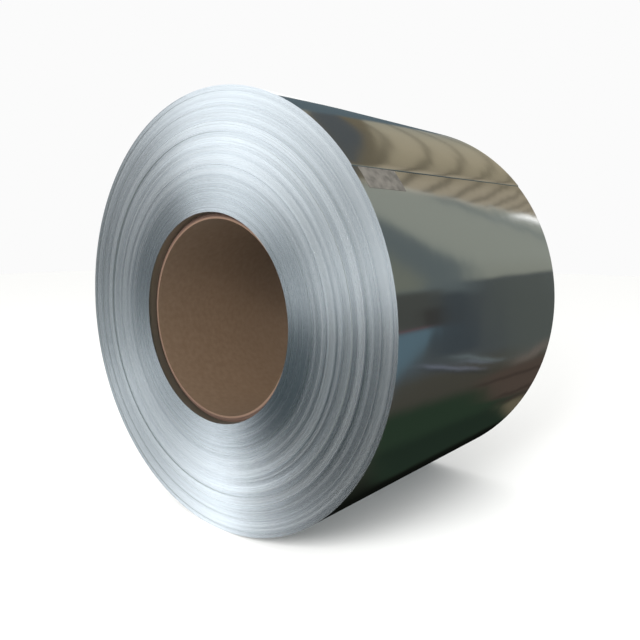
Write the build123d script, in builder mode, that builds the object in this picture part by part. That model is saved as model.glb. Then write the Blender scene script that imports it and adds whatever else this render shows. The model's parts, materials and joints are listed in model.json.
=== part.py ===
# A coil of bright steel strip lying on its side, wound on a paperboard sleeve.
# Millimetres, +Z up. The coil's axis runs along Y, its near end faces -Y, and it
# rests on the plane z = 0 with the origin under the middle of its length.

import os
from itertools import cycle
from math import cos, degrees, radians, sin

from build123d import *

# The strip and the coil that it is wound into
coil_diameter = 1350.0    # over the last turn
strip_width = 1000.0
strip_thickness = 2.0
strip_end_angle = 51.8    # degrees from the top towards +X, where the outer end of the strip lies

# The sleeve in the coil's eye
core_bore = 610.0
core_wall = 19.0
core_recess = 25.0        # from the coil's end plane to the sleeve's end
core_flat = 6.0           # flat ring left of the sleeve's cut end, next to its bore
core_bevel = 8.0          # how far the worn outer corner of that end runs back
core_clearance = 0.3      # radial, between the sleeve and the first turn

# The paper ticket on the last turn but one, just below the strip's outer end
ticket_length = 160.0     # along the axis
ticket_height = 65.0      # around the coil
ticket_thickness = 0.3
ticket_from_edge = 25.0   # from the near end plane
ticket_from_strip_end = 2.0

# Turns drift sideways on the mandrel as they are wound, in bands. From the eye outwards:
# the turns in each band and how far the band's near edge is set back from the most proud one.
turn_bands = [
    (7, 0.8),
    (6, 2.4),
    (18, 3.2),
    (10, 1.8),
    (13, 3.8),
    (18, 2.4),
    (10, 1.4),
    (10, 3.0),
    (15, 1.8),
    (6, 5.0),
    (18, 1.2),
    (17, 2.8),
    (12, 0.9),
    (8, 2.2),
    (8, 0.0),
]

coil_radius = coil_diameter / 2
core_radius = core_bore / 2 + core_wall
eye_radius = core_radius + core_clearance


# Inner radius, outer radius and set-back of each band, until the coil has its full diameter
def wind_bands():
    bands = []
    inner = eye_radius
    for turns, set_back in cycle(turn_bands):
        outer = min(inner + turns * strip_thickness, coil_radius)
        bands.append((inner, outer, set_back))
        inner = outer
        if inner >= coil_radius:
            return bands


bands = wind_bands()
least_set_back = min(set_back for inner, outer, set_back in bands)
most_set_back = max(set_back for inner, outer, set_back in bands)
coil_length = strip_width + most_set_back - least_set_back
near_end = -coil_length / 2


# Where a band's near edge lies along the axis
def near_edge(set_back):
    return near_end + set_back - least_set_back


# The last turn is a spiral of two half circles, which drops by one thickness in a full turn.
# The strip's end lies between the top and the bottom, so the coil rests on the second half.
spiral_offset = strip_thickness / 4
first_half_radius = coil_radius - spiral_offset
second_half_radius = first_half_radius - 2 * spiral_offset
end_angle = radians(strip_end_angle)
axis_height = second_half_radius + spiral_offset * cos(end_angle)

# The turned profiles lie in a level plane through the axis: local x is the radius, local y the axis
axis_plane = Plane.XY.offset(axis_height)
coil_axis = Axis((0, 0, axis_height), (0, 1, 0))


# A plane across the coil, facing the near side, with local x through the strip's outer end
# and local angles that run from there over the top
def across_coil(y):
    return Plane(
        origin=(0, y, axis_height),
        x_dir=(sin(end_angle), 0, cos(end_angle)),
        z_dir=(0, -1, 0),
    )


# The steel: turned with its eye and with the steps between its bands at both ends.
# The strip keeps its width, so a band that is set back at one end stands proud at the other.
near_steps = []
for inner, outer, set_back in bands:
    near_steps.append((inner, near_edge(set_back)))
    near_steps.append((outer, near_edge(set_back)))
far_steps = [(radius, y + strip_width) for radius, y in reversed(near_steps)]

with BuildPart() as steel_coil:
    with BuildSketch(axis_plane):
        with BuildLine():
            Polyline(*near_steps, *far_steps, close=True)
        make_face()
    revolve(axis=coil_axis)
    with BuildSketch(across_coil(-near_end)):
        with BuildLine():
            CenterArc((spiral_offset, 0), first_half_radius, 0, 180)
            CenterArc((-spiral_offset, 0), second_half_radius, 180, 180)
            Line((coil_radius - strip_thickness, 0), (coil_radius, 0))
        make_face()
    extrude(amount=coil_length, mode=Mode.INTERSECT)

# The sleeve: a board tube that ends inside the eye, with the outer corners of its ends worn back
core_half = coil_length / 2 - core_recess
flat_radius = core_bore / 2 + core_flat
with BuildPart() as core_tube:
    with BuildSketch(axis_plane):
        with BuildLine():
            Polyline(
                (core_bore / 2, -core_half),
                (flat_radius, -core_half),
                (core_radius, -core_half + core_bevel),
                (core_radius, core_half - core_bevel),
                (flat_radius, core_half),
                (core_bore / 2, core_half),
                close=True,
            )
        make_face()
    revolve(axis=coil_axis)

# The ticket: a sheet bent round the turn that it sticks to
ticket_face = second_half_radius + ticket_thickness
ticket_start = -degrees(ticket_from_strip_end / second_half_radius)
ticket_sweep = -degrees(ticket_height / second_half_radius)
with BuildPart() as paper_ticket:
    with BuildSketch(across_coil(near_end + ticket_from_edge + ticket_length)):
        with BuildLine():
            inside = CenterArc((-spiral_offset, 0), second_half_radius, ticket_start, ticket_sweep)
            outside = CenterArc((-spiral_offset, 0), ticket_face, ticket_start, ticket_sweep)
            Line(inside @ 0, outside @ 0)
            Line(inside @ 1, outside @ 1)
        make_face()
    extrude(amount=ticket_length)

steel_coil.part.label = "steel_coil"
core_tube.part.label = "core_tube"
paper_ticket.part.label = "paper_ticket"

os.makedirs("parts", exist_ok=True)
export_step(steel_coil.part, "parts/steel_coil.step")
export_step(core_tube.part, "parts/core_tube.step")
export_step(paper_ticket.part, "parts/paper_ticket.step")
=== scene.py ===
import json
import math
import random

import bmesh
import bpy
from mathutils import Matrix, Vector


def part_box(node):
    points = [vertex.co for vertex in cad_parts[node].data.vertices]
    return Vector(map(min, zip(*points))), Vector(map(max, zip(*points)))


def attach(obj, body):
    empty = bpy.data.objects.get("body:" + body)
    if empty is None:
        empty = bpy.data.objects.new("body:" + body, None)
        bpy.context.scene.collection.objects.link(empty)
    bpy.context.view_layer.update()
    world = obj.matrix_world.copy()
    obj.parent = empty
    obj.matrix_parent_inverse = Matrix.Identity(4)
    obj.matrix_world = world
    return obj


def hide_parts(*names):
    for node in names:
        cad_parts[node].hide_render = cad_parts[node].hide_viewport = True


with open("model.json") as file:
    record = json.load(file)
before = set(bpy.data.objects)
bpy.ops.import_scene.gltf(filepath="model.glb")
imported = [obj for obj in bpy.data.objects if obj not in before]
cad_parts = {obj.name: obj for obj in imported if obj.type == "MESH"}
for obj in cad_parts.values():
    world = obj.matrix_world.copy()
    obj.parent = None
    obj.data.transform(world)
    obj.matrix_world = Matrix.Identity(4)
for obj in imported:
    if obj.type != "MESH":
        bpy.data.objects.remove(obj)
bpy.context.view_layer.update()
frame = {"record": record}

coilLow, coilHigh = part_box("steel_coil")
mandrelBore = next(mount for mount in frame["record"]["mounts"] if mount["name"] == "mandrel_bore")
axisHeight = mandrelBore["pos_m"][2]
nearEnd = coilLow[1]

# The wound strip, as in the solids
strip = {
    "coilRadius": 0.6749,      # a tenth of a millimetre less than there, to stay inside their box
    "width": 1.0,
    "thickness": 0.002,
    "endAngle": 51.8,          # where the strip's outer end lies
    "eyeRadius": 0.3243,
}
halfTurnOffset = strip["thickness"] / 4    # of the last turn's two half circles from the axis
alongLeast = 0.001                         # metres along the coil from which an edge runs along it
hair = 0.0001                              # metres, below which two places count as one


# Tools

def hexToLinear(code):
    channels = [int(code[i:i + 2], 16) / 255 for i in (1, 3, 5)]
    return tuple(c / 12.92 if c <= 0.04045 else ((c + 0.055) / 1.055) ** 2.4 for c in channels) + (1.0,)


def addNode(tree, kind, inputs=None, **settings):
    node = tree.nodes.new(kind)
    for name, value in settings.items():
        setattr(node, name, value)
    for name, value in (inputs or {}).items():
        if isinstance(value, bpy.types.NodeSocket):
            tree.links.new(value, node.inputs[name])
        else:
            node.inputs[name].default_value = value
    return node


def startMaterial(name):
    material = bpy.data.materials.new(name)
    material.use_nodes = True
    tree = material.node_tree
    return material, tree, tree.nodes["Principled BSDF"]


def startEditing(obj):
    bpy.ops.object.select_all(action="DESELECT")
    bpy.context.view_layer.objects.active = obj
    obj.select_set(True)
    bpy.ops.object.mode_set(mode="EDIT")
    bpy.ops.mesh.select_mode(type="VERT")


def stopEditing():
    bpy.ops.object.mode_set(mode="OBJECT")


# Select the vertices, edges or faces that pass a test
def selectParts(obj, kind, wanted):
    bpy.ops.mesh.select_mode(type=kind)
    bpy.ops.mesh.select_all(action="DESELECT")
    mesh = bmesh.from_edit_mesh(obj.data)
    parts = {"VERT": mesh.verts, "EDGE": mesh.edges, "FACE": mesh.faces}[kind]
    for part in parts:
        if wanted(part):
            part.select = True
    bmesh.update_edit_mesh(obj.data)


# A flat sheet at its size and place, with its corners in its own mesh
def startPlane(name, centre, width, depth):
    bpy.ops.object.select_all(action="DESELECT")
    bpy.ops.mesh.primitive_plane_add(size=1, location=centre)
    obj = bpy.context.object
    obj.name = name
    obj.scale = (width, depth, 1)
    bpy.ops.object.transform_apply(location=True, rotation=True, scale=True)
    return obj


def applyModifier(obj, kind, **settings):
    bpy.ops.object.select_all(action="DESELECT")
    bpy.context.view_layer.objects.active = obj
    obj.select_set(True)
    modifier = obj.modifiers.new(kind.lower(), kind)
    for name, value in settings.items():
        setattr(modifier, name, value)
    bpy.ops.object.modifier_apply(modifier=modifier.name)


def closeAndSmooth(obj, angle, merge=0.00002):
    startEditing(obj)
    bpy.ops.mesh.select_all(action="SELECT")
    bpy.ops.mesh.remove_doubles(threshold=merge)
    bpy.ops.mesh.select_all(action="SELECT")
    bpy.ops.mesh.normals_make_consistent(inside=False)
    stopEditing()
    bpy.ops.object.shade_smooth_by_angle(angle=math.radians(angle))


# The wound turns: each one's slit edge shows on both ends as a flat between two grooves

woundTurns = {
    "count": 174,              # the strip's last turn lies over these
    "bandShare": 0.35,         # of the solids' set-backs, since the photo's bands run softly into each other
    "leastSetBack": 0.0003,
    "drift": 0.00015,          # of one turn against its neighbours
    "grooveDepth": 0.0001,
    "flatShare": 0.84,         # of a turn's edge that is flat
    "turnsAtOnce": 6,          # the section is first cut into stretches of so many turns; divides the count
    "facets": 92,
    "seed": 11,
}
# How the turns drifted on the mandrel, from the eye outwards: turns in each band and its set-back in mm
turnBands = [
    (7, 0.8), (6, 2.4), (18, 3.2), (10, 1.8), (13, 3.8), (18, 2.4), (10, 1.4), (10, 3.0),
    (15, 1.8), (6, 5.0), (18, 1.2), (17, 2.8), (12, 0.9), (8, 2.2), (8, 0.0),
]


def turnSetBacks():
    drift = random.Random(woundTurns["seed"])
    found = []
    for turns, setBack in turnBands:
        for turn in range(turns):
            band = setBack / 1000 * woundTurns["bandShare"]
            found.append(woundTurns["leastSetBack"] + band + drift.uniform(-1, 1) * woundTurns["drift"])
    return found[:woundTurns["count"]]


def makeWoundTurns():
    print("Winding the turns")
    count, pitch, inner = woundTurns["count"], strip["thickness"], strip["eyeRadius"]
    outer = inner + count * pitch
    middle = nearEnd + strip["width"] / 2
    obj = startPlane("woundTurns", ((inner + outer) / 2, middle, axisHeight), outer - inner, strip["width"])
    startEditing(obj)
    bpy.ops.mesh.select_all(action="SELECT")
    bpy.ops.mesh.delete(type="ONLY_FACE")
    # Three points a turn along both ends of the section: the groove and the two sides of the flat
    atOnce = woundTurns["turnsAtOnce"]
    for cuts in (count // atOnce - 1, 3 * atOnce - 1):
        selectParts(obj, "EDGE", lambda edge: abs(edge.verts[0].co.y - edge.verts[1].co.y) < pitch)
        bpy.ops.mesh.subdivide(number_cuts=cuts)
    shifts = turnSetBacks()
    spread = pitch * (woundTurns["flatShare"] / 2 - 1 / 6)
    mesh = bmesh.from_edit_mesh(obj.data)
    for vert in mesh.verts:
        turn, point = divmod(round((vert.co.x - inner) / pitch * 3), 3)
        isFar = vert.co.y > middle
        if point:
            vert.co.x += (0, -spread, spread)[point]
            vert.co.y += shifts[turn]
        elif turn in (0, count):
            vert.co.y += shifts[min(turn, count - 1)]
        elif isFar:
            vert.co.y += min(shifts[turn - 1], shifts[turn]) - woundTurns["grooveDepth"]
        else:
            vert.co.y += max(shifts[turn - 1], shifts[turn]) + woundTurns["grooveDepth"]
    bmesh.update_edit_mesh(obj.data)
    bpy.ops.mesh.select_all(action="SELECT")
    bpy.ops.mesh.spin(steps=woundTurns["facets"], angle=math.tau, center=(0, 0, axisHeight), axis=(0, 1, 0))
    stopEditing()
    closeAndSmooth(obj, 20)
    return obj


# The strip's last turn: a sheet that winds outwards on two half circles about centres set apart

lastTurn = {
    "tuck": 60,                # degrees that the sheet runs on under its own end
    "stepsPerHalf": 96,
    "cutsAlong": 39,
    "slant": 1.4,              # degrees by which the far corner of the strip's end lies behind the near one
    "slantRows": 14,           # rows of the sheet over which the slant evens out
    "bevel": 0.0018,           # of the outer corner at the strip's end
    "sharp": 1,                # radians from which an edge counts as a corner
    "stub": 0.01,              # width of the sheet that a swept line is cut from
}


def stripEndDirection():
    angle = math.radians(strip["endAngle"])
    return Vector((math.sin(angle), 0, math.cos(angle)))


# A line along the coil, swept round it from the strip's end on the given half circles
def sweepRound(name, radius, low, high, cuts, sweeps):
    outwards = stripEndDirection()
    place = Vector((0, (low + high) / 2, axisHeight)) + outwards * radius
    obj = startPlane(name, place, lastTurn["stub"], high - low)
    startEditing(obj)
    selectParts(obj, "VERT", lambda vert: vert.co.x > place.x)
    bpy.ops.mesh.delete(type="VERT")
    bpy.ops.mesh.select_all(action="SELECT")
    bpy.ops.transform.translate(value=(lastTurn["stub"] / 2, 0, 0))
    bpy.ops.mesh.subdivide(number_cuts=cuts)
    bpy.ops.mesh.select_all(action="SELECT")
    for side, steps, sweep in sweeps:
        centre = Vector((0, 0, axisHeight)) + outwards * halfTurnOffset * side
        bpy.ops.mesh.spin(steps=steps, angle=math.radians(sweep), center=centre, axis=(0, 1, 0))
    stopEditing()
    return obj


def makeLastTurn():
    print("Laying the last turn")
    half, tuck = lastTurn["stepsPerHalf"], lastTurn["tuck"]
    sweeps = ((1, half, 180), (-1, half, 180), (1, round(half * tuck / 180), tuck))
    farEnd = nearEnd + strip["width"]
    obj = sweepRound("lastTurn", strip["coilRadius"], nearEnd, farEnd, lastTurn["cutsAlong"], sweeps)
    # The strip's end is cut a little out of square, so its first rows turn back towards the far end
    startEditing(obj)
    rows, inRow = lastTurn["slantRows"], lastTurn["cutsAlong"] + 2
    centre = Vector((0, 0, axisHeight)) + stripEndDirection() * halfTurnOffset
    mesh = bmesh.from_edit_mesh(obj.data)
    for vert in mesh.verts:
        if vert.index < rows * inRow:
            share = 1 - (vert.index // inRow) / rows
            turnBack = lastTurn["slant"] * share * (vert.co.y - nearEnd) / strip["width"]
            vert.co = centre + Matrix.Rotation(-math.radians(turnBack), 3, "Y") @ (vert.co - centre)
    bmesh.update_edit_mesh(obj.data)
    bpy.ops.mesh.select_all(action="SELECT")
    bpy.ops.mesh.normals_make_consistent(inside=False)
    stopEditing()
    applyModifier(obj, "SOLIDIFY", thickness=strip["thickness"], offset=-1, use_even_offset=True)
    # Its outer corner there is rounded off
    startEditing(obj)
    reach = strip["coilRadius"] - halfTurnOffset

    def isEndCorner(edge):
        first, second = (vert.co for vert in edge.verts)
        isOuter = all(math.hypot(co.x, co.z - axisHeight) > reach for co in (first, second))
        isSharp = abs(edge.calc_face_angle(0)) > lastTurn["sharp"]
        return isOuter and isSharp and abs(first.y - second.y) > alongLeast

    selectParts(obj, "EDGE", isEndCorner)
    bpy.ops.mesh.bevel(offset=lastTurn["bevel"], segments=4, affect="EDGES")
    stopEditing()
    bpy.ops.object.shade_smooth_by_angle(angle=math.radians(40))
    return obj


# The board sleeve

boardSleeve = {
    "outerRadius": 0.324,
    "recess": 0.025,           # from the ends of the coil
    "flat": 0.006,             # ring left of the cut end, next to the bore
    "wornBack": 0.008,         # of the outer corner
    "plies": 12,
    "plyStep": 0.0006,         # unevenness of the plies in the worn corner
    "facets": 144,
    "seed": 4,
}


def makeBoardSleeve():
    print("Making the board sleeve")
    inner, outer = mandrelBore["dims"]["r_mm"] / 1000, boardSleeve["outerRadius"]
    half = (coilHigh[1] - coilLow[1]) / 2 - boardSleeve["recess"]
    obj = startPlane("boardSleeve", ((inner + outer) / 2, 0, axisHeight), outer - inner, 2 * half)
    startEditing(obj)
    bpy.ops.mesh.select_all(action="SELECT")
    bpy.ops.mesh.delete(type="ONLY_FACE")
    selectParts(obj, "EDGE", lambda edge: abs(edge.verts[0].co.y - edge.verts[1].co.y) < alongLeast)
    bpy.ops.mesh.subdivide(number_cuts=2 * boardSleeve["plies"] - 1)
    wear = random.Random(boardSleeve["seed"])
    mesh = bmesh.from_edit_mesh(obj.data)
    slope = boardSleeve["wornBack"] / (outer - inner - boardSleeve["flat"])
    for vert in mesh.verts:
        outwards = vert.co.x - inner - boardSleeve["flat"]
        if outwards > hair:
            back = outwards * slope + wear.uniform(-1, 1) * boardSleeve["plyStep"]
            vert.co.y -= math.copysign(back, vert.co.y)
    bmesh.update_edit_mesh(obj.data)
    bpy.ops.mesh.select_all(action="SELECT")
    bpy.ops.mesh.spin(steps=boardSleeve["facets"], angle=math.tau, center=(0, 0, axisHeight), axis=(0, 1, 0))
    stopEditing()
    closeAndSmooth(obj, 30)
    return obj


# The paper ticket, stuck on just below the strip's end

paperTicket = {
    "fromNearEnd": 0.025,
    "length": 0.16,
    "height": 0.065,
    "thickness": 0.0003,
    "fromStripEnd": 0.002,
    "rows": 18,
    "cutsAlong": 43,
}


def makePaperTicket():
    print("Sticking on the ticket")
    # It lies on the second half circle, which is three offsets smaller than the coil
    radius = strip["coilRadius"] - 3 * halfTurnOffset + paperTicket["thickness"]
    low = nearEnd + paperTicket["fromNearEnd"]
    skip = -math.degrees(paperTicket["fromStripEnd"] / radius)
    sweep = -math.degrees(paperTicket["height"] / radius)
    sweeps = ((-1, paperTicket["rows"], sweep),)
    obj = sweepRound("paperTicket", radius - halfTurnOffset, low, low + paperTicket["length"],
                     paperTicket["cutsAlong"], sweeps)
    startEditing(obj)
    bpy.ops.mesh.select_all(action="SELECT")
    bpy.ops.transform.rotate(value=-math.radians(skip), orient_axis="Y", center_override=(0, 0, axisHeight))
    bpy.ops.mesh.normals_make_consistent(inside=False)
    stopEditing()
    applyModifier(obj, "SOLIDIFY", thickness=paperTicket["thickness"], offset=0)
    bpy.ops.object.shade_smooth_by_angle(angle=math.radians(40))
    return obj


# Materials

def fillRamp(ramp, stops):
    ramp.interpolation = "LINEAR"
    while len(ramp.elements) > 1:
        ramp.elements.remove(ramp.elements[-1])
    for i, (position, colour) in enumerate(stops):
        element = ramp.elements[0] if i == 0 else ramp.elements.new(position)
        element.position = position
        element.color = colour


def hexStops(stops):
    return [(position, hexToLinear(code)) for position, code in stops]


# Stops that are one shade of grey or of a tint each
def tintStops(stops, tint=(1, 1, 1)):
    return [(position, tuple(channel * v for channel in tint) + (1,)) for position, v in stops]


# A ramp over a value that runs from low to high
def addRamp(tree, value, low, high, stops):
    place = addNode(tree, "ShaderNodeMapRange", {"Value": value, "From Min": low, "From Max": high})
    ramp = addNode(tree, "ShaderNodeValToRGB", {"Fac": place.outputs[0]})
    fillRamp(ramp.color_ramp, [((stop - low) / (high - low), colour) for stop, colour in stops])
    return ramp.outputs["Color"]


# Leave out a stop that lies so close to the one before that a line would begin before the last one ends
def thinOut(stops, least=0.0005):
    kept = stops[:1]
    for stop in stops[1:]:
        if stop[0] > kept[-1][0] + least:
            kept.append(stop)
    return kept


# Where a point lies on the coil: from the middle of its axis, its distance from the axis, and which way
def addTurnPlace(tree):
    coords = addNode(tree, "ShaderNodeTexCoord")
    centred = addNode(tree, "ShaderNodeMapping",
                      {"Vector": coords.outputs["Object"], "Location": (0, 0, -axisHeight)})
    flat = addNode(tree, "ShaderNodeVectorMath", {0: centred.outputs[0], 1: (1, 0, 1)}, operation="MULTIPLY")
    radius = addNode(tree, "ShaderNodeVectorMath", {0: flat.outputs[0]}, operation="LENGTH")
    outwards = addNode(tree, "ShaderNodeVectorMath", {0: flat.outputs[0]}, operation="NORMALIZE")
    return centred.outputs[0], radius.outputs["Value"], outwards.outputs[0]


# Cold-rolled strip slit to width: the edges of the turns are sheared metal, satin and finely ridged,
# so light draws out into fans across the turns
slitEdgeSteel = {
    "tones": [(0.35, "#e2e6e8"), (0.62, "#eaeeef")],    # by the noise, as in the other finishes
    "roughness": (0.23, 0.3),
    "stretch": 0.8,
    "turns": 0.004,            # metres for one unit of the fine noise: two turns
    "bands": 0.014,            # the same for the bands of turns
    "bandSpan": (0.3, 0.7),
    "broadTone": (0.985, 1.01),    # lighter and darker bands of turns
    "drawnOut": 0.1,           # how much the noise changes round the coil
    "noisePlace": (0.4, 0, 0.6),
    "tilt": 0.1,               # how far the edges of single turns tip over along the turn
    "lean": (0.0, 0.07),       # how far they lean outwards, the least and the most
    "film": 0.08,              # how much a thin dull film covers the bands that have most of it
    "filmSpan": (0.36, 0.64),  # of the noise, from bare bands to covered ones
    "filmStart": (0.58, 0.66),     # the share of the coil's radius where the film begins and is full
    # How bright the edges are from the axis outwards, by the share of the coil's radius
    "bright": [(0.0, 0.95), (0.61, 0.95), (0.68, 1.0), (0.76, 1.0), (0.87, 0.92), (1.0, 0.9)],
    # Turns that stand out all the way round: share of the radius, half width, and how much film they have
    "lines": [
        (0.602, 0.004, 0.2), (0.63, 0.005, 2.0), (0.648, 0.004, 0.3), (0.728, 0.004, 0.3),
        (0.745, 0.005, 1.6), (0.804, 0.004, 0.0), (0.837, 0.005, 1.6), (0.878, 0.004, 0.0),
        (0.942, 0.005, 2.0), (0.976, 0.004, 0.2),
    ],
    "lineSpan": (0.48, 1.0),   # the share of the radius that the lines are drawn over
}


# How much of the dull film lies on the turns, as a metallic value: lighter lines where they mirror the dark
def addFilm(tree, share, bandNoise):
    stops = []
    for middle, halfWidth, amount in slitEdgeSteel["lines"]:
        stops += [(middle - halfWidth, 1), (middle, amount), (middle + halfWidth, 1)]
    lines = addRamp(tree, share, *slitEdgeSteel["lineSpan"], tintStops(thinOut(stops)))
    low, high = slitEdgeSteel["filmSpan"]
    covered = addNode(tree, "ShaderNodeMapRange", {"Value": bandNoise, "From Min": low, "From Max": high})
    cover = addNode(tree, "ShaderNodeMath", {0: covered.outputs[0], 1: lines}, operation="MULTIPLY")
    start, full = slitEdgeSteel["filmStart"]
    most = addNode(tree, "ShaderNodeMapRange",
                   {"Value": share, "From Min": start, "From Max": full,
                    "To Min": 0, "To Max": -slitEdgeSteel["film"]})
    bare = addNode(tree, "ShaderNodeMath", {0: cover.outputs[0], 1: most.outputs[0], 2: 1},
                   operation="MULTIPLY_ADD")
    return bare.outputs[0]


# Each turn's edge tips its own way, so the turns show as lines where the light changes along them
def addTippedNormal(tree, outwards, patterns):
    half = slitEdgeSteel["tilt"] / 2
    tilt = addNode(tree, "ShaderNodeMapRange",
                   {"Value": patterns.outputs["Y"], "To Min": -half, "To Max": half})
    alongTurn = addNode(tree, "ShaderNodeVectorMath", {0: outwards, 1: (0, 1, 0)}, operation="CROSS_PRODUCT")
    tipped = addNode(tree, "ShaderNodeVectorMath", {0: alongTurn.outputs[0], "Scale": tilt.outputs[0]},
                     operation="SCALE")
    flat = addNode(tree, "ShaderNodeNewGeometry")
    least, most = slitEdgeSteel["lean"]
    lean = addNode(tree, "ShaderNodeMapRange",
                   {"Value": patterns.outputs["Z"], "To Min": least, "To Max": most})
    leaned = addNode(tree, "ShaderNodeVectorMath",
                     {0: outwards, 1: lean.outputs[0], 2: flat.outputs["Normal"]}, operation="MULTIPLY_ADD")
    both = addNode(tree, "ShaderNodeVectorMath", {0: leaned.outputs[0], 1: tipped.outputs[0]},
                   operation="ADD")
    normal = addNode(tree, "ShaderNodeVectorMath", {0: both.outputs[0]}, operation="NORMALIZE")
    return normal.outputs[0]


def makeSlitEdgeSteel():
    material, tree, shader = startMaterial("slitEdgeSteel")
    _, radius, outwards = addTurnPlace(tree)
    # The noise runs fast across the turns and slowly along them
    fine = addNode(tree, "ShaderNodeMath", {0: radius, 1: 1 / slitEdgeSteel["turns"]}, operation="MULTIPLY")
    around = addNode(tree, "ShaderNodeVectorMath",
                     {0: outwards, 1: (slitEdgeSteel["drawnOut"],) * 3, 2: slitEdgeSteel["noisePlace"]},
                     operation="MULTIPLY_ADD")
    split = addNode(tree, "ShaderNodeSeparateXYZ", {0: around.outputs[0]})
    grain = addNode(tree, "ShaderNodeCombineXYZ",
                    {"X": split.outputs["X"], "Y": fine.outputs[0], "Z": split.outputs["Z"]})
    turnNoise = addNode(tree, "ShaderNodeTexNoise",
                        {"Vector": grain.outputs[0], "Scale": 1, "Detail": 1, "Roughness": 0.6})
    tone = addNode(tree, "ShaderNodeValToRGB", {"Fac": turnNoise.outputs["Fac"]})
    fillRamp(tone.color_ramp, hexStops(slitEdgeSteel["tones"]))
    bandNoise = addNode(tree, "ShaderNodeTexNoise",
                        {"Vector": grain.outputs[0], "Scale": slitEdgeSteel["turns"] / slitEdgeSteel["bands"],
                         "Detail": 3, "Roughness": 0.65})
    low, high = slitEdgeSteel["bandSpan"]
    darker, lighter = slitEdgeSteel["broadTone"]
    bandTone = addNode(tree, "ShaderNodeMapRange",
                       {"Value": bandNoise.outputs["Fac"], "From Min": low, "From Max": high,
                        "To Min": darker, "To Max": lighter})
    share = addNode(tree, "ShaderNodeMath", {0: radius, 1: strip["coilRadius"]},
                    operation="DIVIDE").outputs[0]
    bright = addNode(tree, "ShaderNodeValToRGB", {"Fac": share})
    fillRamp(bright.color_ramp, tintStops(slitEdgeSteel["bright"]))
    shade = addNode(tree, "ShaderNodeMath", {0: bandTone.outputs[0], 1: bright.outputs["Color"]},
                    operation="MULTIPLY")
    colour = addNode(tree, "ShaderNodeVectorMath", {0: tone.outputs["Color"], "Scale": shade.outputs[0]},
                     operation="SCALE")
    smoothest, roughest = slitEdgeSteel["roughness"]
    rough = addNode(tree, "ShaderNodeMapRange",
                    {"Value": turnNoise.outputs["Fac"], "To Min": roughest, "To Max": smoothest})
    patterns = addNode(tree, "ShaderNodeSeparateXYZ", {0: bandNoise.outputs["Color"]})
    tree.links.new(colour.outputs[0], shader.inputs["Base Color"])
    tree.links.new(rough.outputs[0], shader.inputs["Roughness"])
    tree.links.new(addTippedNormal(tree, outwards, patterns), shader.inputs["Normal"])
    tree.links.new(addFilm(tree, share, bandNoise.outputs["Fac"]), shader.inputs["Metallic"])
    shader.inputs["Anisotropic"].default_value = slitEdgeSteel["stretch"]
    tree.links.new(outwards, shader.inputs["Tangent"])
    return material


# Cold-rolled bright strip: a mirror with a faint grain round the coil from the rolls
brightStrip = {
    "colour": "#dcdedd",
    "roughness": (0.06, 0.11),
    "grain": 0.003,            # metres along the coil for one unit of the grain's noise
    "wave": 0.0009,            # height of the strip's slight waves, in metres
}
# The first turn of the same strip, scuffed by the mandrel: a dull blur in the eye, in a darker, greener
# colour that is painted shade and a painted reflection
scuffedShadedStrip = {
    # painted shade and a painted greenish reflection: darker and greener than the bright strip
    "colour": "#aeb6ae",
    "roughness": (0.34, 0.46),
    "grain": 0.003,
    "wave": 0.0004,
}


def makeStripMaterial(name, finish):
    material, tree, shader = startMaterial(name)
    place, _, outwards = addTurnPlace(tree)
    split = addNode(tree, "ShaderNodeSeparateXYZ", {0: outwards})
    along = addNode(tree, "ShaderNodeSeparateXYZ", {0: place})
    fine = addNode(tree, "ShaderNodeMath", {0: along.outputs["Y"], 1: 1 / finish["grain"]},
                   operation="MULTIPLY")
    grain = addNode(tree, "ShaderNodeCombineXYZ",
                    {"X": split.outputs["X"], "Y": fine.outputs[0], "Z": split.outputs["Z"]})
    rolled = addNode(tree, "ShaderNodeTexNoise", {"Vector": grain.outputs[0], "Scale": 1.5, "Detail": 4})
    smoothest, roughest = finish["roughness"]
    rough = addNode(tree, "ShaderNodeMapRange",
                    {"Value": rolled.outputs["Fac"], "To Min": smoothest, "To Max": roughest})
    wave = addNode(tree, "ShaderNodeTexNoise", {"Vector": place, "Scale": 5, "Detail": 1.5})
    bump = addNode(tree, "ShaderNodeBump",
                   {"Height": wave.outputs["Fac"], "Distance": finish["wave"], "Strength": 1})
    tree.links.new(rough.outputs[0], shader.inputs["Roughness"])
    tree.links.new(bump.outputs[0], shader.inputs["Normal"])
    shader.inputs["Base Color"].default_value = hexToLinear(finish["colour"])
    shader.inputs["Metallic"].default_value = 1
    return material


# Kraft board: matt brown paper, with painted shade darkening it towards its ends
kraftBoard = {
    "tones": [(0.3, "#665341"), (0.7, "#6e5b49")],
    "cutEnd": "#695446",
    "wornCorner": "#5e4a40",
    "paleRing": 0.0042,        # how far the fresh part of the cut end runs out from the bore
    "cutDepth": (0.0012, 0.0004),  # how far in from the end plane the cut end begins and is all there
    "ringFade": 0.001,         # over which it turns into the worn corner
    "shadedEnds": (0.25, 0.84),     # how far in from its ends the board is darkened by painted shade, and its brightness at the ends
    "roughness": 0.8,
}


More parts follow.
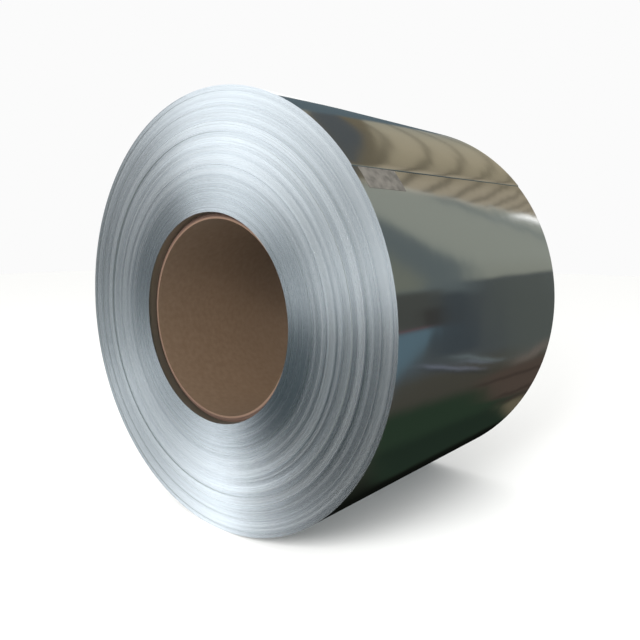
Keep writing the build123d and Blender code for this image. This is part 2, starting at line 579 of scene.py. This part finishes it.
def makeKraftBoard():
    material, tree, shader = startMaterial("kraftBoard")
    place, radius, _ = addTurnPlace(tree)
    fibres = addNode(tree, "ShaderNodeTexNoise", {"Vector": place, "Scale": 60, "Detail": 5})
    tone = addNode(tree, "ShaderNodeValToRGB", {"Fac": fibres.outputs["Fac"]})
    fillRamp(tone.color_ramp, hexStops(kraftBoard["tones"]))
    split = addNode(tree, "ShaderNodeSeparateXYZ", {0: place})
    depth = addNode(tree, "ShaderNodeMath", {0: split.outputs["Y"]}, operation="ABSOLUTE").outputs[0]
    end = (coilHigh[1] - coilLow[1]) / 2 - boardSleeve["recess"]
    shadedReach, least = kraftBoard["shadedEnds"]
    # Painted shade: the board's colour is darkened towards its ends, down to the given brightness
    endShade = addNode(tree, "ShaderNodeMapRange",
                    {"Value": depth, "From Min": end - shadedReach, "From Max": end,
                     "To Min": 1.0, "To Max": least})
    board = addNode(tree, "ShaderNodeVectorMath", {0: tone.outputs["Color"], "Scale": endShade.outputs[0]},
                    operation="SCALE")
    # The cut end is fresh and pale, and its outer corner is worn back and coloured darker
    begins, full = kraftBoard["cutDepth"]
    isEnd = addNode(tree, "ShaderNodeMapRange",
                    {"Value": depth, "From Min": end - begins, "From Max": end - full})
    cut = addNode(tree, "ShaderNodeMix",
                  {"Factor": isEnd.outputs[0], 6: board.outputs[0], 7: hexToLinear(kraftBoard["cutEnd"])},
                  data_type="RGBA")
    ring = mandrelBore["dims"]["r_mm"] / 1000 + kraftBoard["paleRing"]
    isCorner = addNode(tree, "ShaderNodeMapRange",
                       {"Value": radius, "From Min": ring, "From Max": ring + kraftBoard["ringFade"]})
    corner = addNode(tree, "ShaderNodeMix",
                     {"Factor": isCorner.outputs[0], 6: cut.outputs[2],
                      7: hexToLinear(kraftBoard["wornCorner"])}, data_type="RGBA")
    tree.links.new(corner.outputs[2], shader.inputs["Base Color"])
    shader.inputs["Roughness"].default_value = kraftBoard["roughness"]
    return material


# Uncoated paper, worn thin by handling
wornPaper = {
    "tones": [(0.35, "#595650"), (0.65, "#716d66")],
    "roughness": 0.75,
}


def makeWornPaper():
    material, tree, shader = startMaterial("wornPaper")
    coords = addNode(tree, "ShaderNodeTexCoord")
    wear = addNode(tree, "ShaderNodeTexNoise", {"Vector": coords.outputs["Object"], "Scale": 45, "Detail": 5})
    tone = addNode(tree, "ShaderNodeValToRGB", {"Fac": wear.outputs["Fac"]})
    fillRamp(tone.color_ramp, hexStops(wornPaper["tones"]))
    tree.links.new(tone.outputs["Color"], shader.inputs["Base Color"])
    shader.inputs["Roughness"].default_value = wornPaper["roughness"]
    return material


# Camera, floor and light

photoView = {
    "place": (1.4221, -1.6848, 0.9196),
    "forward": (-0.66830, 0.72664, -0.15928),
    "lens": 34.009,
    "shiftX": 0.04559,
    "shiftY": 0.02494,
}
studio = {
    "floorColour": "#f2f2f0",
    "floorSide": 30,
    "backdropColour": "#fbfbfb",
    # The soft light, and the two heights of its direction where it is so, from -1 below to 1 above
    "softLight": (0.3, 1.25),
    "softSpan": (-0.4, 0.8),
    "frontLight": 260,         # watts, a soft box high in front of the near end
    "frontSide": 1.6,
    "frontPlace": (1.2, -4.0, 2.4),
    # What the bright strip mirrors is drawn in two measures of a mirrored ray: its degrees round the coil's
    # axis, from straight up towards +X, and its reach, how far it runs along the axis for each metre away
    "turnSpan": (-100, 260),   # of the degrees, so that the ramps don't break below the coil
    "ceiling": [
        (-70, "#8c9294"), (-50, "#9a9788"), (-36, "#a9a18c"), (-20, "#a99f88"), (-8, "#a0967f"),
        (0, "#988e79"), (8, "#aba08b"), (14, "#a89d89"),
    ],
    # The wall begins: at this reach at so many degrees, and so many more for each unit of reach
    "wallStart": (1.35, 12.5, 13.5),
    "wallFade": 1,             # degrees to each side
    "wall": [
        (0, "#969a92"), (60, "#959990"), (74, "#8e9187"), (77, "#4c5153"), (126, "#4c5153"), (134, "#4a4841"),
        (150, "#47453e"), (172, "#3a3c34"), (196, "#20241e"), (212, "#0e100d"), (240, "#0c0d0b"),
        (260, "#4f5559"),
    ],
    # Beams: the degrees that they face, how strongly they bend, and the first one's reach and their pitch
    "beams": (-14, 0.7, 1.445, 0.215),
    "beamShade": (0.44, 0.6),  # how dark they are, left and right of the ridge
    "beamEdge": (0.7, 0.0),    # the lower, the wider
    "beamTurn": (-35, 8),      # degrees from and to which the two lines above change
    "beamLeast": 0.05,         # the least height of a direction over the horizon, so that they stay apart
    # Patches: colour or light, both ends as reach with degrees from and to, and how soft the edges are in
    # degrees and in reach
    "patches": [
        ("#6f6756", (1.10, -110, 12), (1.42, -14, 14), 4, 0.04),
        ("#53585b", (1.10, -60, -36), (1.33, -24, 14), 4, 0.02),
        ("#5a686f", (0.9, -110, -33), (1.7, -110, -62), 3, 0.03),
        (1.3, (0.9, -110, -53), (1.35, -110, -77), 1.5, 0.03),
        ("#bbb8ad", (1.35, 11.0, 12.8), (2.6, 27.9, 29.7), 0.7, 0.1),
        ("#707979", (1.75, 16.5, 20), (3.2, 57.1, 60.6), 2, 0.1),
        (1.7, (2.42, 25.6, 29.2), (3.4, 38.7, 42.3), 1.2, 0.1),
        ("#555a57", (2.2, 77, 142), (3.4, 77, 142), 3, 0.2),
        ("#60696b", (1.2, 23.1, 85), (2.02, 65.8, 85), 3, 0.11),
        ("#41484d", (1.7, 82, 122), (1.98, 82, 122), 3, 0.06),
        ("#73776d", (1.2, 31.0, 79), (1.70, 73.3, 79), 4, 0.05),
        ("#4b4d4a", (1.2, 79, 100.5), (1.8, 79, 100.5), 2, 0.07),
        ("#3c3a38", (1.66, 90, 102), (1.8, 90, 102), 3, 0.04),
        ("#704545", (1.2, 100.3, 101.3), (1.7, 100.3, 101.3), 0.6, 0.08),
        ("#5c727e", (1.2, 101.7, 147.4), (1.746, 101.7, 103.7), 2, 0.03),
        ("#2b3a2d", (1.2, 146, 203), (1.98, 154, 203), 6, 0.08),
        ("#232f26", (1.2, 172, 205), (1.95, 178, 205), 6, 0.08),
        ("#7f8495", (1.60, 123, 124.6), (1.93, 137.8, 139.4), 0.7, 0.06),
        ("#35393b", (1.60, 125.4, 127.2), (1.95, 141.3, 143.1), 0.8, 0.06),
        ("#758184", (1.80, 122.5, 124.5), (2.10, 136, 138), 0.7, 0.06),
        ("#737b87", (1.84, 127.5, 129.3), (2.02, 135.5, 137.3), 0.7, 0.05),
        ("#716861", (2.2, 142, 148), (2.65, 131, 139), 2.5, 0.1),
        ("#51463f", (1.9, 146, 170), (2.6, 146, 185), 3, 0.15),
        ("#67604f", (1.96, 181, 208), (2.4, 181, 208), 3, 0.06),
        ("#3e3530", (1.85, 150.5, 152.5), (2.45, 155, 157.5), 1, 0.08),
        ("#3e3530", (1.96, 168.5, 171.5), (2.4, 171.5, 175), 1, 0.08),
        ("#3e3530", (1.97, 176.5, 179.5), (2.4, 177, 180), 1, 0.08),
    ],
    # To the sides and straight behind, the hall gives way to plain light and shade
    "asideReach": ((0.95, 0.7), (3.0, 3.6)),   # where that begins and is full, each way
    "asideTint": (0.96, 1, 1.04),
    "aside": [
        (-100, 0.3), (-70, 0.85), (-30, 1.0), (0, 0.7), (35, 0.55), (60, 0.8), (80, 0.75), (100, 0.4),
        (150, 0.3), (190, 0.45), (225, 0.6), (260, 0.3),
    ],
    # What the satin near end mirrors, by the direction in which it draws out the fans
    "frontSpan": (-0.05, -0.3),    # how far forwards the hall gives way to the fans
    "fanTint": (0.94, 1, 1.06),
    "fans": [
        (-180, 2.2), (-150, 1.25), (-115, 1.7), (-95, 0.75), (-60, 0.25), (-30, 0.4), (-5, 1.7), (12, 1.0),
        (35, 0.4), (65, 1.6), (90, 0.1), (120, 0.0), (155, 0.0), (172, 0.6), (180, 2.2),
    ],
    # Straight on and far aside the fans give way to one colour each, by how far the light comes in aside
    "straightOn": (0.028, 0.05, 0.062),
    "straightOnSpan": (0.12, 0.34),
    "farAside": (0.285, 0.33, 0.35),
    "farAsideSpan": (0.75, 1.1),
}


def setCamera():
    print("Setting the camera")
    data = bpy.data.cameras.new("photoCamera")
    data.lens = photoView["lens"]
    data.sensor_width = 36
    data.shift_x = photoView["shiftX"]
    data.shift_y = photoView["shiftY"]
    camera = bpy.data.objects.new("photoCamera", data)
    bpy.context.collection.objects.link(camera)
    camera.location = photoView["place"]
    camera.rotation_mode = "QUATERNION"
    camera.rotation_quaternion = Vector(photoView["forward"]).to_track_quat("-Z", "Y")
    bpy.context.scene.camera = camera


# One soft-edged patch of what the strip mirrors, over what lies below it, with straight sides
def addPatch(tree, below, turn, reach, patch):
    colour, (nearReach, *nearSides), (farReach, *farSides), turnSoft, reachSoft = patch
    edges = [(reach, nearReach, reachSoft), (reach, farReach, -reachSoft)]
    for nearSide, farSide, soft in zip(nearSides, farSides, (turnSoft, -turnSoft)):
        lean = (farSide - nearSide) / (farReach - nearReach)
        back = addNode(tree, "ShaderNodeMath", {0: reach, 1: -lean, 2: turn}, operation="MULTIPLY_ADD")
        edges.append((back.outputs[0], nearSide - lean * nearReach, soft))
    mask = 1.0
    for value, edge, soft in edges:
        side = addNode(tree, "ShaderNodeMapRange",
                       {"Value": value, "From Min": edge - soft, "From Max": edge + soft, "To Max": mask},
                       interpolation_type="SMOOTHSTEP")
        mask = side.outputs[0]
    shown = hexToLinear(colour) if isinstance(colour, str) else (colour,) * 3 + (1,)
    mixed = addNode(tree, "ShaderNodeMix", {"Factor": mask, 6: below, 7: shown}, data_type="RGBA")
    return mixed.outputs[2]


# The ceiling and its beams, which run across the hall
def addCeiling(tree, across, turn, reach):
    low, high = studio["turnSpan"]
    plain = addRamp(tree, turn, low, high, hexStops(studio["ceiling"]))
    facing, bend, first, pitch = studio["beams"]
    up = (math.sin(math.radians(facing)), 0, math.cos(math.radians(facing)))
    flat = addNode(tree, "ShaderNodeVectorMath", {0: across}, operation="NORMALIZE")
    height = addNode(tree, "ShaderNodeVectorMath", {0: flat.outputs[0], 1: up}, operation="DOT_PRODUCT")
    least = addNode(tree, "ShaderNodeMath", {0: height.outputs["Value"], 1: studio["beamLeast"]},
                    operation="MAXIMUM")
    bent = addNode(tree, "ShaderNodeMath", {0: least.outputs[0], 1: bend}, operation="POWER")
    ratio = addNode(tree, "ShaderNodeMath", {0: reach, 1: bent.outputs[0]}, operation="DIVIDE")
    perBeam = math.tau / pitch
    phase = addNode(tree, "ShaderNodeMath", {0: ratio.outputs[0], 1: perBeam, 2: -first * perBeam},
                    operation="MULTIPLY_ADD")
    wave = addNode(tree, "ShaderNodeMath", {0: phase.outputs[0]}, operation="COSINE")
    leftTurn, rightTurn = studio["beamTurn"]
    changing = {}
    for name in ("beamShade", "beamEdge"):
        left, right = studio[name]
        changing[name] = addNode(tree, "ShaderNodeMapRange",
                                 {"Value": turn, "From Min": leftTurn, "From Max": rightTurn,
                                  "To Min": left, "To Max": right}).outputs[0]
    beams = addNode(tree, "ShaderNodeMapRange",
                    {"Value": wave.outputs[0], "From Min": changing["beamEdge"], "From Max": 1.0,
                     "To Max": changing["beamShade"]}, interpolation_type="SMOOTHSTEP")
    lit = addNode(tree, "ShaderNodeMath", {0: 1.0, 1: beams.outputs[0]}, operation="SUBTRACT")
    ceiling = addNode(tree, "ShaderNodeVectorMath", {0: plain, 1: lit.outputs[0]}, operation="MULTIPLY")
    return ceiling.outputs[0]


# The hall beyond the coil: its ceiling, its wall and floor, what stands in it, and plain sides
def addHall(tree, x, y, z):
    low, high = studio["turnSpan"]
    turned = addNode(tree, "ShaderNodeMath", {0: x, 1: z}, operation="ARCTAN2")
    degrees = addNode(tree, "ShaderNodeMath", {0: turned.outputs[0]}, operation="DEGREES")
    wrapped = addNode(tree, "ShaderNodeMath", {0: degrees.outputs[0], 1: high, 2: low}, operation="WRAP")
    turn = wrapped.outputs[0]
    across = addNode(tree, "ShaderNodeCombineXYZ", {"X": x, "Z": z}).outputs[0]
    span = addNode(tree, "ShaderNodeVectorMath", {0: across}, operation="LENGTH")
    reach = addNode(tree, "ShaderNodeMath", {0: y, 1: span.outputs["Value"]}, operation="DIVIDE").outputs[0]
    ceiling = addCeiling(tree, across, turn, reach)
    wall = addRamp(tree, turn, low, high, hexStops(studio["wall"]))
    startReach, start, lean = studio["wallStart"]
    leaned = addNode(tree, "ShaderNodeMath", {0: reach, 1: -lean, 2: lean * startReach - start},
                     operation="MULTIPLY_ADD")
    past = addNode(tree, "ShaderNodeMath", {0: turn, 1: leaned.outputs[0]}, operation="ADD")
    fade = studio["wallFade"]
    isWall = addNode(tree, "ShaderNodeMapRange",
                     {"Value": past.outputs[0], "From Min": -fade, "From Max": fade})
    hall = addNode(tree, "ShaderNodeMix", {"Factor": isWall.outputs[0], 6: ceiling, 7: wall},
                   data_type="RGBA")
    mirrored = hall.outputs[2]
    for patch in studio["patches"]:
        mirrored = addPatch(tree, mirrored, turn, reach, patch)
    plainSides = addRamp(tree, turn, low, high, tintStops(studio["aside"], studio["asideTint"]))
    for begins, full in studio["asideReach"]:
        isAside = addNode(tree, "ShaderNodeMapRange", {"Value": reach, "From Min": begins, "From Max": full},
                          interpolation_type="SMOOTHSTEP")
        mirrored = addNode(tree, "ShaderNodeMix", {"Factor": isAside.outputs[0], 6: mirrored, 7: plainSides},
                           data_type="RGBA").outputs[2]
    return mirrored


# The front: by the half-way direction between the light and the photo's viewing direction
def addFans(tree, x, z):
    forward = photoView["forward"]
    halfX = addNode(tree, "ShaderNodeMath", {0: x, 1: forward[0]}, operation="SUBTRACT").outputs[0]
    halfZ = addNode(tree, "ShaderNodeMath", {0: z, 1: forward[2]}, operation="SUBTRACT").outputs[0]
    turned = addNode(tree, "ShaderNodeMath", {0: halfX, 1: halfZ}, operation="ARCTAN2")
    turn = addNode(tree, "ShaderNodeMath", {0: turned.outputs[0]}, operation="DEGREES")
    drawn = addRamp(tree, turn.outputs[0], -180, 180, tintStops(studio["fans"], studio["fanTint"]))
    halfWay = addNode(tree, "ShaderNodeCombineXYZ", {"X": halfX, "Z": halfZ})
    aside = addNode(tree, "ShaderNodeVectorMath", {0: halfWay.outputs[0]},
                    operation="LENGTH").outputs["Value"]
    spans = [studio["straightOnSpan"], studio["farAsideSpan"]]
    isAside, isFarAside = [
        addNode(tree, "ShaderNodeMapRange", {"Value": aside, "From Min": low, "From Max": high},
                interpolation_type="SMOOTHSTEP").outputs[0] for low, high in spans]
    front = addNode(tree, "ShaderNodeMix", {"Factor": isAside, 6: studio["straightOn"] + (1,), 7: drawn},
                    data_type="RGBA")
    wide = addNode(tree, "ShaderNodeMix",
                   {"Factor": isFarAside, 6: front.outputs[2], 7: studio["farAside"] + (1,)},
                   data_type="RGBA")
    return wide.outputs[2]


def makeWorld():
    print("Lighting the studio")
    world = bpy.data.worlds.new("studio")
    bpy.context.scene.world = world
    world.use_nodes = True
    tree = world.node_tree
    coords = addNode(tree, "ShaderNodeTexCoord")
    split = addNode(tree, "ShaderNodeSeparateXYZ", {0: coords.outputs["Generated"]})
    x, y, z = (split.outputs[axis] for axis in "XYZ")
    begins, full = studio["frontSpan"]
    isFront = addNode(tree, "ShaderNodeMapRange", {"Value": y, "From Min": begins, "From Max": full})
    mirrored = addNode(tree, "ShaderNodeMix",
                       {"Factor": isFront.outputs[0], 6: addHall(tree, x, y, z), 7: addFans(tree, x, z)},
                       data_type="RGBA")
    # Everything else is lit softly, more from above, before a plain backdrop
    (low, high), (below, above) = studio["softSpan"], studio["softLight"]
    soft = addNode(tree, "ShaderNodeMapRange",
                   {"Value": z, "From Min": low, "From Max": high, "To Min": below, "To Max": above})
    path = addNode(tree, "ShaderNodeLightPath")
    plain = addNode(tree, "ShaderNodeMix",
                    {"Factor": path.outputs["Is Camera Ray"], 6: soft.outputs[0],
                     7: hexToLinear(studio["backdropColour"])}, data_type="RGBA")
    shown = addNode(tree, "ShaderNodeMix",
                    {"Factor": path.outputs["Is Glossy Ray"], 6: plain.outputs[2], 7: mirrored.outputs[2]},
                    data_type="RGBA")
    tree.links.new(shown.outputs[2], tree.nodes["Background"].inputs["Color"])


def makeFrontLight():
    lamp = bpy.data.lights.new("frontLight", "AREA")
    lamp.energy = studio["frontLight"]
    lamp.size = studio["frontSide"]
    box = bpy.data.objects.new("frontLight", lamp)
    bpy.context.collection.objects.link(box)
    box.location = studio["frontPlace"]
    box.rotation_mode = "QUATERNION"
    box.rotation_quaternion = (Vector((0, 0, axisHeight)) - box.location).to_track_quat("-Z", "Y")
    box.visible_glossy = False         # so that the steel doesn't mirror it


def makeFloor():
    floor = startPlane("floor", (0, 0, 0), studio["floorSide"], studio["floorSide"])
    material, _, shader = startMaterial("paleFloor")
    shader.inputs["Base Color"].default_value = hexToLinear(studio["floorColour"])
    shader.inputs["Roughness"].default_value = 0.9
    shader.inputs["Specular IOR Level"].default_value = 0.1
    floor.data.materials.append(material)
    floor.visible_glossy = False       # so that the bright steel mirrors the hall


# Put the coil together

setCamera()
edgeSteel, board, paper = makeSlitEdgeSteel(), makeKraftBoard(), makeWornPaper()
stripSteel = makeStripMaterial("brightStrip", brightStrip)
scuffedShadedSteel = makeStripMaterial("scuffedShadedStrip", scuffedShadedStrip)


def finishPiece(piece, node, slot, *materials):
    for material in materials:
        piece.data.materials.append(material)
    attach(piece, "root")
    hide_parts(node)


turnsPiece = makeWoundTurns()
finishPiece(turnsPiece, "steel_coil", "bright_steel", edgeSteel, scuffedShadedSteel)
lastPiece = makeLastTurn()
finishPiece(lastPiece, "steel_coil", "bright_steel", stripSteel, edgeSteel)
# Walls of the strip are bright, and its slit edges satin
wallLean = 0.97                        # a face that looks so far outwards or inwards is a wall
for piece, edgeSlot, wallSlot in ((turnsPiece, 0, 1), (lastPiece, 1, 0)):
    for face in piece.data.polygons:
        isWall = math.hypot(face.normal.x, face.normal.z) > wallLean
        face.material_index = wallSlot if isWall else edgeSlot
finishPiece(makeBoardSleeve(), "core_tube", "paperboard", board)
finishPiece(makePaperTicket(), "paper_ticket", "ticket_paper", paper)
makeFloor()
makeWorld()
makeFrontLight()
bpy.context.scene.view_settings.view_transform = "Standard"
